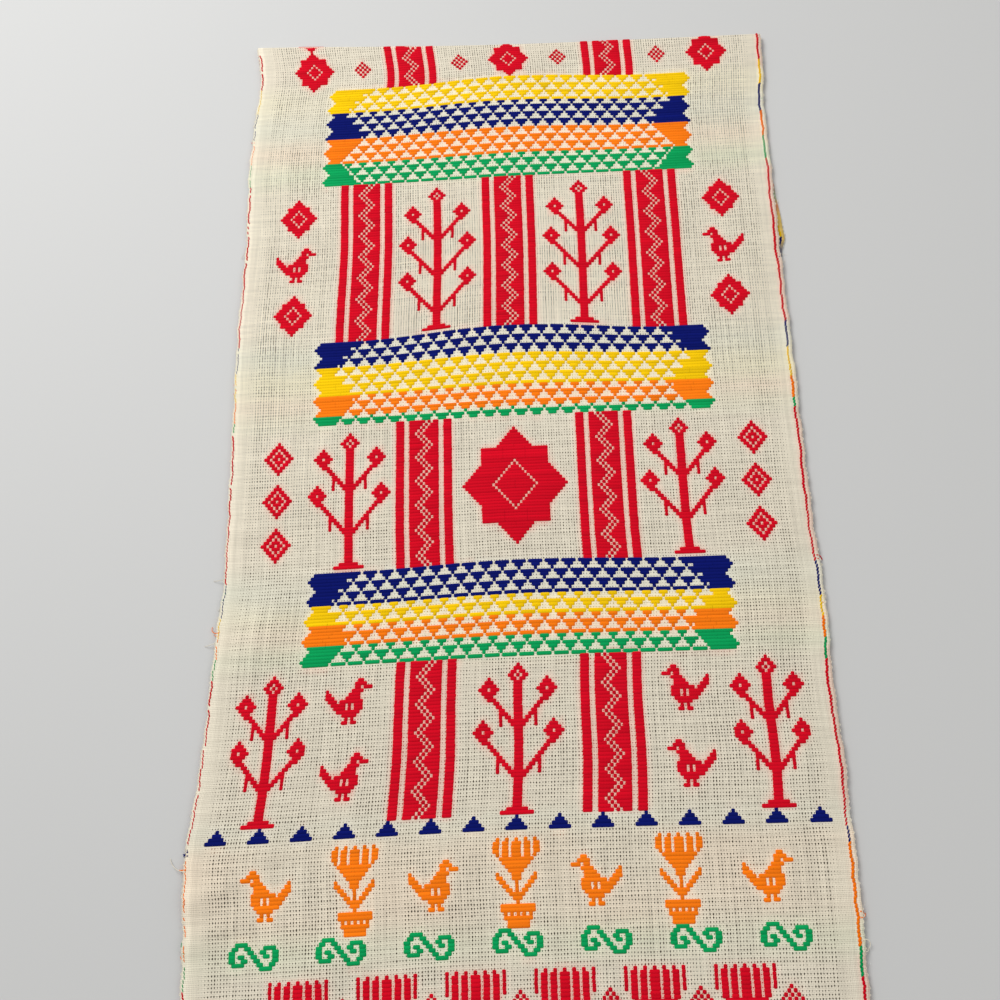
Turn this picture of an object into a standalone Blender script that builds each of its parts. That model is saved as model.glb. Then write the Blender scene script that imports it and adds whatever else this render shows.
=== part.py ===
"""A woven cotton table runner, folded once across its width and lying flat.

One strip of cloth is a single solid. It runs from the near end of the upper layer to a soft
fold at +Y, turns there, and comes back underneath as the lower layer. Both ends have a narrow
hem. X is across the runner, Y is along it, and the lower layer's underside lies on Z = 0.
"""
from collections import namedtuple

import bmesh
import bpy
import numpy as np

MM = 0.001

# Driving sizes in metres
FOLDED_LENGTH = 0.700
CLOTH_THICKNESS = 0.0012
LAYER_GAP = 0.0010
FOLD_GAP = 0.0022
FOLD_REACH = 0.022
HEM_DEPTH = 0.012
HEM_THICKNESS = 0.0020
HEM_STEP = 0.002
LOWER_END_SHORT = 0.002

# Grid: strips across the cloth, and stations along each stretch of it
STRIPS_ACROSS = 28
UPPER_STATIONS = 44
LOWER_STATIONS = 24
FOLD_STATIONS = 7

CLOTH_COLOUR = (0.68, 0.61, 0.51, 1.0)
CLOTH_ROUGHNESS = 0.9

# Edges of a layer in millimetres: distance from the fold, then the left and the right edge
Edge = namedtuple("Edge", "from_fold left right")
UPPER_EDGES = (
    Edge(0, -174.1, 176.4),
    Edge(25, -169.6, 176.0),
    Edge(50, -170.9, 174.1),
    Edge(100, -172.7, 173.7),
    Edge(165, -170.8, 173.5),
    Edge(222, -171.6, 174.0),
    Edge(296, -169.9, 174.3),
    Edge(353, -168.5, 174.7),
    Edge(395, -168.1, 176.6),
    Edge(418, -169.8, 176.4),
    Edge(451, -171.0, 175.6),
    Edge(489, -172.8, 177.1),
    Edge(519, -175.4, 176.7),
    Edge(539, -177.3, 177.3),
    Edge(568, -175.2, 176.9),
    Edge(601, -173.3, 175.9),
    Edge(650, -172.2, 176.2),
    Edge(700, -172.4, 176.4),
)
LOWER_EDGES = (
    Edge(0, -174.1, 176.4),
    Edge(30, -169.8, 174.8),
    Edge(65, -169.6, 173.0),
    Edge(100, -171.0, 173.9),
    Edge(128, -170.4, 176.4),
    Edge(156, -169.8, 177.0),
    Edge(185, -169.8, 175.2),
    Edge(222, -170.0, 172.8),
    Edge(296, -168.6, 172.8),
    Edge(353, -168.4, 173.4),
    Edge(390, -170.2, 175.0),
    Edge(425, -172.4, 175.2),
    Edge(455, -172.8, 174.2),
    Edge(489, -172.2, 175.4),
    Edge(539, -175.0, 175.4),
    Edge(601, -172.0, 174.4),
    Edge(700, -171.0, 175.0),
)

# The fold in millimetres: place across, and how far it falls short of the most forward point
Bend = namedtuple("Bend", "across short")
FOLD_LINE = (
    Bend(-178, 0.0),
    Bend(-135, 1.2),
    Bend(-92, 3.0),
    Bend(-8, 5.4),
    Bend(60, 5.8),
    Bend(120, 5.4),
    Bend(178, 5.0),
)

# Soft waves of the upper layer: centre, length and width in millimetres, turn in degrees
Wave = namedtuple("Wave", "across from_fold turn length width height")
WAVES = (
    Wave(-148, 425, 62, 60, 26, 1.7),
    Wave(-150, 545, 38, 84, 26, 2.1),
    Wave(-104, 598, 46, 92, 28, 1.7),
    Wave(-60, 338, -6, 190, 40, 0.9),
    Wave(70, 148, 7, 170, 44, 0.8),
    Wave(142, 404, 84, 90, 28, 1.4),
    Wave(150, 188, 78, 110, 28, 1.1),
    Wave(52, 520, 12, 180, 40, 1.0),
    Wave(-152, 236, 82, 90, 28, 1.2),
    Wave(-30, 60, 3, 210, 30, 0.7),
    Wave(120, 620, -24, 110, 32, 1.3),
)


def remove_everything():
    """Empty the scene of objects."""
    for item in list(bpy.data.objects):
        bpy.data.objects.remove(item, do_unlink=True)


def read_smoothly(table, column, at):
    """Read a column of a table at the given places along its first column, in metres.

    Between two rows the value follows a cubic whose slope at each row is the slope
    between its neighbours, so an edge has no corners.
    """
    places = np.array([row[0] for row in table]) * MM
    values = np.array([getattr(row, column) for row in table]) * MM
    slopes = np.gradient(values, places)
    at = np.clip(at, places[0], places[-1])
    row = np.clip(np.searchsorted(places, at, side="right") - 1, 0, len(places) - 2)
    step = places[row + 1] - places[row]
    part = (at - places[row]) / step
    start = (1 + 2 * part) * (1 - part) ** 2 * values[row]
    start_slope = part * (1 - part) ** 2 * step * slopes[row]
    end = part**2 * (3 - 2 * part) * values[row + 1]
    end_slope = part**2 * (part - 1) * step * slopes[row + 1]
    return start + start_slope + end + end_slope


def edge_to_edge(table, fraction, from_fold):
    """Place across the runner, where fraction runs from 0 at the left to 1 at the right."""
    left = read_smoothly(table, "left", from_fold)
    right = read_smoothly(table, "right", from_fold)
    return left + (right - left) * fraction


def fold_front(across):
    """Y of the fold's outer face."""
    return FOLDED_LENGTH / 2 - read_smoothly(FOLD_LINE, "short", across)


def hem_share(from_fold):
    """1 in the hem, 0 in the rest of the cloth, with a short ramp between them."""
    hem_edge = FOLDED_LENGTH - HEM_DEPTH
    return np.clip((from_fold - hem_edge) / HEM_STEP + 1, 0, 1)


def thickness(from_fold):
    """Thickness of the cloth, which is doubled by the hem at its end."""
    return CLOTH_THICKNESS + (HEM_THICKNESS - CLOTH_THICKNESS) * hem_share(from_fold)


def waves(across, from_fold):
    """Height of the upper layer's soft waves.

    Each wave is a long round hill: a bell curve along its length and across its width.
    """
    height = np.zeros(np.shape(across))
    for wave in WAVES:
        turn = np.radians(wave.turn)
        x = across - wave.across * MM
        y = wave.from_fold * MM - from_fold
        along = x * np.cos(turn) + y * np.sin(turn)
        beside = y * np.cos(turn) - x * np.sin(turn)
        hill = (along / (wave.length * MM / 2)) ** 2 + (beside / (wave.width * MM / 2)) ** 2
        height += wave.height * MM * np.exp(-hill)
    return height


def gap(across, from_fold):
    """Clear height between the two layers."""
    near_fold = np.exp(-((from_fold / FOLD_REACH) ** 2))
    near_end = np.clip((FOLDED_LENGTH - from_fold) / HEM_DEPTH - 1, 0, 1)
    rise = waves(across, from_fold) * (1 - near_fold) * near_end
    return LAYER_GAP + (FOLD_GAP - LAYER_GAP) * near_fold + rise


def lower_middle(from_fold):
    """Z of the middle of the lower layer, whose underside is flat on the surface."""
    return thickness(from_fold) / 2


def upper_middle(across, from_fold):
    """Z of the middle of the upper layer."""
    return thickness(from_fold) * 1.5 + gap(across, from_fold)


def turn_centre(across):
    """Y of the axis about which the cloth turns at the fold."""
    radius = (FOLD_GAP + CLOTH_THICKNESS) / 2
    return fold_front(across) - radius - CLOTH_THICKNESS / 2


def place_along(across, from_fold):
    """Y of a point at a distance from the fold; the near end is straight."""
    near_end = -FOLDED_LENGTH / 2
    return turn_centre(across) - (turn_centre(across) - near_end) * from_fold / FOLDED_LENGTH


def upper_layer(fraction, from_fold):
    """Points of the upper layer."""
    across = edge_to_edge(UPPER_EDGES, fraction, from_fold)
    return across, place_along(across, from_fold), upper_middle(across, from_fold)


def lower_layer(fraction, from_fold):
    """Points of the lower layer."""
    across = edge_to_edge(LOWER_EDGES, fraction, from_fold)
    return across, place_along(across, from_fold), lower_middle(from_fold)


def fold_turn(fraction, angle):
    """Points of the fold, a half circle from the upper layer down to the lower one."""
    start = np.zeros(np.shape(fraction))
    across = edge_to_edge(UPPER_EDGES, fraction, start)
    radius = (FOLD_GAP + CLOTH_THICKNESS) / 2
    middle = lower_middle(start) + radius
    return across, turn_centre(across) + radius * np.cos(angle), middle + radius * np.sin(angle)


def stations():
    """Distances from the fold and turning angles of every row of the grid.

    The first rows are the upper layer from its end to the fold, the next ones the fold,
    and the last ones the lower layer from the fold to its end.
    """
    hem_rows = np.array([FOLDED_LENGTH - HEM_DEPTH, FOLDED_LENGTH - HEM_DEPTH - HEM_STEP])
    reach = FOLDED_LENGTH - HEM_DEPTH - HEM_STEP
    body = reach * (np.arange(1, UPPER_STATIONS) / UPPER_STATIONS) ** 1.15
    upper = np.concatenate(([FOLDED_LENGTH], hem_rows, body[::-1]))
    turn = np.linspace(np.pi / 2, -np.pi / 2, FOLD_STATIONS)
    body = reach * (np.arange(1, LOWER_STATIONS) / LOWER_STATIONS) ** 1.15
    lower = np.concatenate((body, hem_rows[::-1], [FOLDED_LENGTH - LOWER_END_SHORT]))
    return upper, turn, lower


def shape_points(fraction, row):
    """Points of the cloth's middle surface for each grid row and fraction across."""
    upper, turn, lower = stations()
    points = np.zeros((len(row), 3))
    in_upper = row < len(upper)
    in_lower = row >= len(upper) + len(turn)
    in_turn = ~in_upper & ~in_lower
    points[in_upper] = np.transpose(upper_layer(fraction[in_upper], upper[row[in_upper]]))
    angle = turn[row[in_turn] - len(upper)]
    points[in_turn] = np.transpose(fold_turn(fraction[in_turn], angle))
    from_fold = lower[row[in_lower] - len(upper) - len(turn)]
    points[in_lower] = np.transpose(lower_layer(fraction[in_lower], from_fold))
    return points


def hem_weights(row):
    """How much of each grid row is hem."""
    upper, turn, lower = stations()
    from_fold = np.concatenate((upper, np.zeros(len(turn)), lower))
    return hem_share(from_fold)[row]


def cloth_material():
    """Undyed cotton, matt and slightly warm."""
    material = bpy.data.materials.new("undyed_cotton")
    material.use_nodes = True
    shader = material.node_tree.nodes["Principled BSDF"]
    shader.inputs["Base Color"].default_value = CLOTH_COLOUR
    shader.inputs["Roughness"].default_value = CLOTH_ROUGHNESS
    shader.inputs["Metallic"].default_value = 0.0
    return material


def make_cloth(collection):
    """The folded strip: a grid laid along the cloth's path and given its thickness."""
    rows = sum(len(part) for part in stations())
    grid = bmesh.new()
    bmesh.ops.create_grid(grid, x_segments=STRIPS_ACROSS, y_segments=rows - 1, size=0.5)
    flat = np.array([vertex.co for vertex in grid.verts])
    fraction = np.clip(flat[:, 0] + 0.5, 0, 1)
    row = np.rint((flat[:, 1] + 0.5) * (rows - 1)).astype(int)
    for vertex, point in zip(grid.verts, shape_points(fraction, row)):
        vertex.co = point
    mesh = bpy.data.meshes.new("runner_cloth")
    grid.to_mesh(mesh)
    grid.free()

    cloth = bpy.data.objects.new("runner_cloth", mesh)
    collection.objects.link(cloth)
    hem = cloth.vertex_groups.new(name="hem")
    weights = hem_weights(row)
    for index in np.flatnonzero(weights > 0):
        hem.add([int(index)], float(weights[index]), "REPLACE")
    body = cloth.modifiers.new("cloth thickness", "SOLIDIFY")
    body.thickness = HEM_THICKNESS
    body.offset = 0.0
    body.vertex_group = hem.name
    body.thickness_vertex_group = CLOTH_THICKNESS / HEM_THICKNESS
    mesh.materials.append(cloth_material())
    mesh.shade_smooth()
    return cloth


def main():
    """Build the runner in a collection of its own."""
    remove_everything()
    collection = bpy.data.collections.new("woven_table_runner")
    bpy.context.scene.collection.children.link(collection)
    make_cloth(collection)


main()
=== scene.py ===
# %% [markdown]
# # A brocaded cotton table runner
# The real thing is one long strip of coarse, undyed plain weave. While it was woven, coloured
# yarns were carried across it, and wherever the pattern asks for colour they pass over the warp
# as short raised floats. The strip lies folded once across its width.
#
# We keep that order: first the folded surface, as a function of two numbers, then the cloth on
# it, then every float as a small bar of yarn on the same surface, and last the loose yarn.

from collections import namedtuple
from functools import partial

import bpy
import numpy as np
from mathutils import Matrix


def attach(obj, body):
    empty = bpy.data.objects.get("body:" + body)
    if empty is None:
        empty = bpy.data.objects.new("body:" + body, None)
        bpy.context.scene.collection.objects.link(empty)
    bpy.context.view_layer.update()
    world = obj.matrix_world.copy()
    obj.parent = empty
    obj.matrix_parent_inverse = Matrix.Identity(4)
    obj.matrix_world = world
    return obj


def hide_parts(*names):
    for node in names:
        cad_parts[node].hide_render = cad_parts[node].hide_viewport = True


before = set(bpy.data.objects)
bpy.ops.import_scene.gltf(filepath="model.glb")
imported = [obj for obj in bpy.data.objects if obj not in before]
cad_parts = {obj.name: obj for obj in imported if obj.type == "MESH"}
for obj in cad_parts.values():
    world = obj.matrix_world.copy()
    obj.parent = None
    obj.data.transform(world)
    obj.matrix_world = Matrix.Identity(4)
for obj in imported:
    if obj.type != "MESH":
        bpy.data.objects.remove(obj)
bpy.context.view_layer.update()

# %% [markdown]
# ## Sizes
# A weaver counts a brocade in cells: one cell is a group of warp ends across and a pick of
# pattern yarn along. If we count in cells too, a motif is a small grid of whole numbers.

# %% Sizes of the cloth and its cells
MM = 0.001
RUNNER_WIDTH = 0.350
RUNNER_LENGTH = 1.400
FOLDED_LENGTH = RUNNER_LENGTH / 2
COLUMNS = 215
ROWS = 359
CELL = RUNNER_WIDTH / COLUMNS
PICK = FOLDED_LENGTH / ROWS
CENTRE = COLUMNS // 2

LAYER_ROOM = 0.0012
SHEET = 0.0007
LAYER_GAP = 0.0010
FOLD_GAP = 0.0022
FOLD_REACH = 0.022
HEM_DEPTH = 0.012
HEM_ROOM = 0.0020
HEM_SHEET = 0.0017
HEM_STEP = 0.002
LOWER_END_SHORT = 0.002
print(f"cell {CELL / MM:.2f} mm across, {PICK / MM:.2f} mm along")

# %% [markdown]
# ## The outline and the waves
# Hand-woven cloth is never quite straight. These short tables say where its edges run, how its
# fold line falls back towards the right, and where the upper layer lies in soft waves.

# %% Tables of the outline, the fold line and the waves, in millimetres and degrees
# Distance from the fold, then the left and the right edge
LEFT, RIGHT = 1, 2
UPPER_EDGES = (
    (0, -174.1, 176.4), (25, -169.6, 176.0), (50, -170.9, 174.1), (100, -172.7, 173.7),
    (165, -170.8, 173.5), (222, -171.6, 174.0), (296, -169.9, 174.3), (353, -168.5, 174.7),
    (395, -168.1, 176.6), (418, -169.8, 176.4), (451, -171.0, 175.6), (489, -172.8, 177.1),
    (519, -175.4, 176.7), (539, -177.3, 177.3), (568, -175.2, 176.9), (601, -173.3, 175.9),
    (650, -172.2, 176.2), (700, -172.4, 176.4),
)
LOWER_EDGES = (
    (0, -174.1, 176.4), (30, -169.8, 174.8), (65, -169.6, 172.6), (92, -171.0, 172.4),
    (120, -170.4, 174.2), (134, -170.0, 176.0), (150, -169.8, 176.7), (164, -169.8, 177.4),
    (172, -169.8, 175.4), (184, -169.8, 173.4), (222, -170.0, 172.6), (296, -168.6, 172.8),
    (353, -167.4, 173.4), (390, -167.0, 175.0), (425, -168.6, 175.2), (455, -169.8, 174.2),
    (489, -171.4, 175.4), (539, -175.0, 175.4), (601, -172.0, 174.4), (700, -171.0, 175.0),
)
# Place across, then how far the fold falls short of its most forward point
SHORT = 1
FOLD_LINE = ((-178, 0.0), (-135, 1.2), (-92, 3.0), (-8, 5.4), (60, 5.8), (120, 5.4), (178, 5.0))
# Place across, distance from the fold, turn, length, width and height
WAVES = (
    (-148, 425, 62, 60, 26, 1.7), (-150, 545, 38, 84, 26, 1.7), (-166, 557, 24, 46, 8, 1.6),
    (-160, 576, 26, 64, 9, 1.5), (-104, 598, 46, 92, 28, 1.7), (-162, 356, 8, 34, 8, 0.9),
    (-162, 316, -18, 32, 8, 0.7), (-60, 338, -6, 190, 40, 0.9), (70, 148, 7, 170, 44, 0.8),
    (142, 404, 84, 90, 28, 1.4), (150, 188, 78, 110, 28, 1.1), (52, 520, 12, 180, 40, 1.0),
    (-152, 236, 82, 90, 28, 1.2), (-30, 60, 3, 210, 30, 0.7), (120, 620, -24, 110, 32, 1.3),
)


def read_smoothly(table, column, at):
    """Read a column of a table along its first column, in metres, with no corners.

    Between two rows the value is a cubic whose end slopes are those of the neighbours.
    """
    places, values = np.array(table)[:, (0, column)].T * MM
    slopes = np.gradient(values, places)
    at = np.clip(at, places[0], places[-1])
    row = np.clip(np.searchsorted(places, at, side="right") - 1, 0, len(places) - 2)
    step = places[row + 1] - places[row]
    part = (at - places[row]) / step
    start = (1 + 2 * part) * (1 - part) ** 2 * values[row]
    start_slope = part * (1 - part) ** 2 * step * slopes[row]
    end = part**2 * (3 - 2 * part) * values[row + 1]
    end_slope = part**2 * (part - 1) * step * slopes[row + 1]
    return start + start_slope + end + end_slope


# %% [markdown]
# ## One function for the whole folded surface
# `on_cloth` takes a place across the cloth, a distance along it from the middle of the fold, and
# a lift off the middle of the cloth towards its right side, which looks up on the upper layer
# and down on the lower one. Cloth, floats and loose yarn all use it, so they can't drift apart.

# %% The folded surface
UPPER_START = LAYER_ROOM + FOLD_GAP + SHEET / 2
LOWER_START = LAYER_ROOM - SHEET / 2
TURN_RADIUS = (UPPER_START - LOWER_START) / 2
TURN_HEIGHT = (UPPER_START + LOWER_START) / 2
HALF_TURN = TURN_RADIUS * np.pi / 2
EDGE_RIPPLE = 0.00028
UNEVENNESS = 0.00011


def hem_share(from_fold):
    """1 in the hem, 0 in the rest, with a short ramp between them."""
    return np.clip((from_fold - FOLDED_LENGTH + HEM_DEPTH) / HEM_STEP + 1, 0, 1)


def sheet_thickness(from_fold):
    """Thickness of the cloth: doubled in the hem, and rounded off at the very end."""
    thick = SHEET + (HEM_SHEET - SHEET) * hem_share(from_fold)
    past = np.clip((from_fold - FOLDED_LENGTH) / HEM_STEP + 1.5, 0, 1)
    return thick * (1 - 0.5 * past**3)


def room(from_fold):
    """Height that one layer and its brocade take up."""
    return LAYER_ROOM + (HEM_ROOM - LAYER_ROOM) * hem_share(from_fold)


def waves(across, from_fold):
    """Height of the soft waves: for each one a bell curve along it and a bell curve across."""
    height = np.zeros(np.shape(across))
    for place, distance, turn, length, width, top in WAVES:
        turn = np.radians(turn)
        x = across - place * MM
        y = distance * MM - from_fold
        along = x * np.cos(turn) + y * np.sin(turn)
        beside = y * np.cos(turn) - x * np.sin(turn)
        hill = (along / (length * MM / 2)) ** 2 + (beside / (width * MM / 2)) ** 2
        height += top * MM * np.exp(-hill)
    return height


def small_unevenness(across, from_fold):
    """Height of the slight puckers between the waves: three crossed sines, never below 0."""
    long_way = np.sin(across / 0.021 + 1.7 * np.sin(from_fold / 0.047))
    cross_way = np.sin(from_fold / 0.016 + 1.3 * np.sin(across / 0.039))
    slant = np.sin((across + from_fold) / 0.013)
    return UNEVENNESS * (3 + long_way + cross_way + slant)


def gap(across, from_fold):
    """Clear height between the two layers."""
    near_fold = np.exp(-((from_fold / FOLD_REACH) ** 2))
    near_end = np.clip((FOLDED_LENGTH - from_fold) / HEM_DEPTH - 1, 0, 1)
    rise = waves(across, from_fold) + small_unevenness(across, from_fold)
    return LAYER_GAP + (FOLD_GAP - LAYER_GAP) * near_fold + rise * (1 - near_fold) * near_end


def ripple(path, phase):
    """The selvedge's small waviness: sines of three lengths added up."""
    short = np.sin(path / 0.00085 + phase)
    middle = np.sin(path / 0.0023 + 2 * phase + np.sin(path / 0.011))
    return EDGE_RIPPLE * (0.5 * short + middle + np.sin(path / 0.0061 + phase))


def place_across(table, fraction, from_fold, path):
    """X of a point, where fraction runs from 0 at the left edge to 1 at the right one."""
    left = read_smoothly(table, LEFT, from_fold)
    right = read_smoothly(table, RIGHT, from_fold)
    inside = np.clip(fraction, 0, 1)
    near_left = np.clip(1 - inside * 30, 0, 1)
    near_right = np.clip(1 - (1 - inside) * 30, 0, 1)
    wobble = near_left * ripple(path, 0.4) + near_right * ripple(path, 2.1)
    return left + (right - left) * fraction + wobble


def fold_front(across):
    """Y of the front of the fold."""
    return FOLDED_LENGTH / 2 - read_smoothly(FOLD_LINE, SHORT, across)


def on_cloth(fraction, path, lift):
    """Points on the folded runner.

    Beyond half a turn from the fold's middle the cloth is flat, above for a positive path and
    below for a negative one. Within it the cloth runs round a half circle.
    """
    from_fold = np.clip(np.abs(path) - HALF_TURN, 0, None)
    lean = np.clip(path / HALF_TURN, -1, 1) * np.pi / 2
    above = path > 0
    x_above = place_across(UPPER_EDGES, fraction, from_fold, path)
    x_below = place_across(LOWER_EDGES, fraction, from_fold, path)
    x = np.where(above, x_above, x_below)
    axis = fold_front(x) - TURN_RADIUS - LAYER_ROOM + SHEET / 2
    reach = np.minimum(TURN_RADIUS + lift, TURN_RADIUS * 2)
    y = axis - (axis + FOLDED_LENGTH / 2) * from_fold / FOLDED_LENGTH + reach * np.cos(lean)
    thick = sheet_thickness(from_fold)
    upper = room(from_fold) + gap(x, from_fold) + thick / 2
    lower = room(from_fold) - thick / 2
    turning = TURN_HEIGHT + TURN_RADIUS * np.sin(lean)
    z = np.where(np.abs(path) < HALF_TURN, turning, np.where(above, upper, lower))
    return np.stack([x, y, z + lift * np.sin(lean)], axis=-1)


# %% [markdown]
# ## Where a row of the pattern lies
# The pattern's rows climb a little to the right, and the beaten picks bow forward in the middle
# where the brocade is thick. `row_path` turns a row and a column into a distance along the
# cloth. The cloth itself needs the reverse, so `path_row` tries a row, sees where it falls, and
# corrects it a few times.

# %% Rows and columns on the surface
ROW_CLIMB = 0.018
BOW_WIDTH = 0.100
BOW_ROWS = (0, 17, 38, 57, 117, 134, 146, 194, 222, 359)
BOW_HEIGHT = np.array((1.0, 4.6, 3.0, 0.6, 6.0, 2.4, 0.4, 2.2, 0.3, 0.0)) * MM


def row_offset(column, row):
    """How far a row lies from its straight place: fold line, climb and bow added up."""
    across = (column / COLUMNS - 0.5) * RUNNER_WIDTH
    fold = read_smoothly(FOLD_LINE, SHORT, np.zeros(1))[0]
    fold = fold - read_smoothly(FOLD_LINE, SHORT, across)
    bow = np.interp(np.abs(row), BOW_ROWS, BOW_HEIGHT)
    bulge = 0.5 + 0.5 * np.cos(np.pi * np.clip(across / BOW_WIDTH, -1, 1))
    return fold - ROW_CLIMB * across - bow * bulge


def row_path(column, row):
    """Distance along the cloth of a place in the pattern."""
    return row * PICK + row_offset(column, row)


def path_row(column, path):
    """Row of the pattern at a distance along the cloth."""
    row = path / PICK
    for _ in range(4):
        row = (path - row_offset(column, row)) / PICK
    return row


def pattern_point(column, row, lift):
    """Point on the runner at a column and row of the pattern."""
    return on_cloth(column / COLUMNS, row_path(column, row), lift)


corner = pattern_point(np.array([0.0]), np.array([20.0]), np.array([0.0]))[0]
print("row 20 meets the left edge at", np.round(corner, 4))

# %% [markdown]
# ## Camera
# The photograph looks down from in front of the runner's middle, tipped by about 18 degrees,
# with a normal phone lens. With a camera, every later choice has something to be judged by.

# %% Camera
camera_data = bpy.data.cameras.new("camera")
camera_data.sensor_width = 36.0
camera_data.lens = 36.0
camera_data.clip_start = 0.01
camera = bpy.data.objects.new("camera", camera_data)
camera.location = (0.0153, -0.1786, 0.5630)
camera.rotation_euler = np.radians((18.50, 2.42, -0.57))
bpy.context.collection.objects.link(camera)
bpy.context.scene.camera = camera

# %% [markdown]
# ## Floor and light
# A plain pale floor and broad, soft lights stand in for the room. The main light comes from
# behind and from the left, as the narrow shadow along the runner's right edge shows.


# %% Floor, lights and world
FLOOR_SIZE = 8.0
FLOOR_COLOUR = (0.62, 0.62, 0.61, 1.0)


def soft_light(name, location, size, power):
    """A square lamp that looks at the middle of the runner."""
    data = bpy.data.lights.new(name, "AREA")
    data.shape = "SQUARE"
    data.size = size
    data.energy = power
    lamp = bpy.data.objects.new(name, data)
    lamp.location = location
    lamp.rotation_euler = (-lamp.location).to_track_quat("-Z", "Y").to_euler()
    bpy.context.collection.objects.link(lamp)


bpy.ops.mesh.primitive_plane_add(size=FLOOR_SIZE, location=(0, 0, 0))
floor = bpy.context.object
floor.name = "floor"
pale_floor = bpy.data.materials.new("pale_floor")
pale_floor.use_nodes = True
floor_shader = pale_floor.node_tree.nodes["Principled BSDF"]
floor_shader.inputs["Base Color"].default_value = FLOOR_COLOUR
floor_shader.inputs["Roughness"].default_value = 0.7
floor.data.materials.append(pale_floor)

soft_light("key_light", (-0.8, 0.95, 1.35), 0.9, 23)
soft_light("fill_light", (1.1, -0.6, 1.6), 1.4, 6)
world = bpy.data.worlds.new("studio")
world.use_nodes = True
world.node_tree.nodes["Background"].inputs["Color"].default_value = (1.0, 1.0, 1.0, 1.0)
world.node_tree.nodes["Background"].inputs["Strength"].default_value = 0.38
bpy.context.scene.world = world
bpy.context.scene.view_settings.view_transform = "Standard"

# %% [markdown]
# ## Small helpers for materials
# Cotton has no picture on it here: its look is worked out by nodes. Two effects are used by more
# than one material, the plain weave and the twist of a yarn, so each becomes a node group. A
# group only hands out numbers, and the shader stays in the material.


# %% Node helpers
def calculate(tree, operation, *values, clamp=False):
    """A math node whose inputs are numbers or sockets; gives back its output socket."""
    node = tree.nodes.new("ShaderNodeMath")
    node.operation = operation
    node.use_clamp = clamp
    for socket, value in zip(node.inputs, values):
        if isinstance(value, (int, float)):
            socket.default_value = value
        else:
            tree.links.new(value, socket)
    return node.outputs[0]


def smooth_step(tree, value, low, high, start=0.0, finish=1.0):
    """Rises softly from start to finish while the value goes from low to high."""
    node = tree.nodes.new("ShaderNodeMapRange")
    node.interpolation_type = "SMOOTHSTEP"
    limits = {"From Min": low, "From Max": high, "To Min": start, "To Max": finish}
    for name, number in limits.items():
        node.inputs[name].default_value = number
    tree.links.new(value, node.inputs["Value"])
    return node.outputs["Result"]


def stretched_noise(tree, vector, stretch, detail=2.0):
    """Soft noise from 0 to 1 on a vector that is stretched first."""
    scale = tree.nodes.new("ShaderNodeVectorMath")
    scale.operation = "MULTIPLY"
    scale.inputs[1].default_value = stretch
    noise = tree.nodes.new("ShaderNodeTexNoise")
    noise.inputs["Scale"].default_value = 1.0
    noise.inputs["Detail"].default_value = detail
    tree.links.new(vector, scale.inputs[0])
    tree.links.new(scale.outputs[0], noise.inputs["Vector"])
    return noise.outputs["Fac"]


def split_vector(tree, vector):
    """The three numbers of a vector."""
    node = tree.nodes.new("ShaderNodeSeparateXYZ")
    tree.links.new(vector, node.inputs[0])
    return tuple(node.outputs)


def new_group(name, vector, numbers, outputs):
    """A node group that takes a vector and numbers and gives numbers.

    Gives back its tree, its input node and its output node.
    """
    tree = bpy.data.node_groups.new(name, "ShaderNodeTree")
    tree.interface.new_socket(vector, in_out="INPUT", socket_type="NodeSocketVector")
    for direction, sockets in (("INPUT", numbers), ("OUTPUT", outputs)):
        for socket in sockets:
            tree.interface.new_socket(socket, in_out=direction, socket_type="NodeSocketFloat")
    return tree, tree.nodes.new("NodeGroupInput"), tree.nodes.new("NodeGroupOutput")


def use_group(tree, group):
    """Place a node group in a material."""
    node = tree.nodes.new("ShaderNodeGroup")
    node.node_tree = group
    return node


def linear(red, green, blue):
    """Screen colour from 0 to 255 as the linear colour that shaders work in."""
    screen = np.array([red, green, blue]) / 255
    light = np.where(screen > 0.04045, ((screen + 0.055) / 1.055) ** 2.4, screen / 12.92)
    return tuple(light.tolist())


# %% [markdown]
# ## Plain weave
# Seen close, the ground is a net of warp and weft with a pinhole at the corner of every cell.
# A cosine across and a cosine along are both 1 at those corners, so their sum marks the holes,
# and the more open the cloth is, the lower the sum may be. The one across weighs more, and near
# the fold more still, which draws the holes out along the warp. Two warp ends and two picks
# make a cell, and the product of two sines changes sign twice in it, as warp and weft take turns
# to lie on top.


# %% The plain weave as a node group
FULL_TURN = 2 * np.pi
THREAD_DRIFT = 0.7


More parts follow.
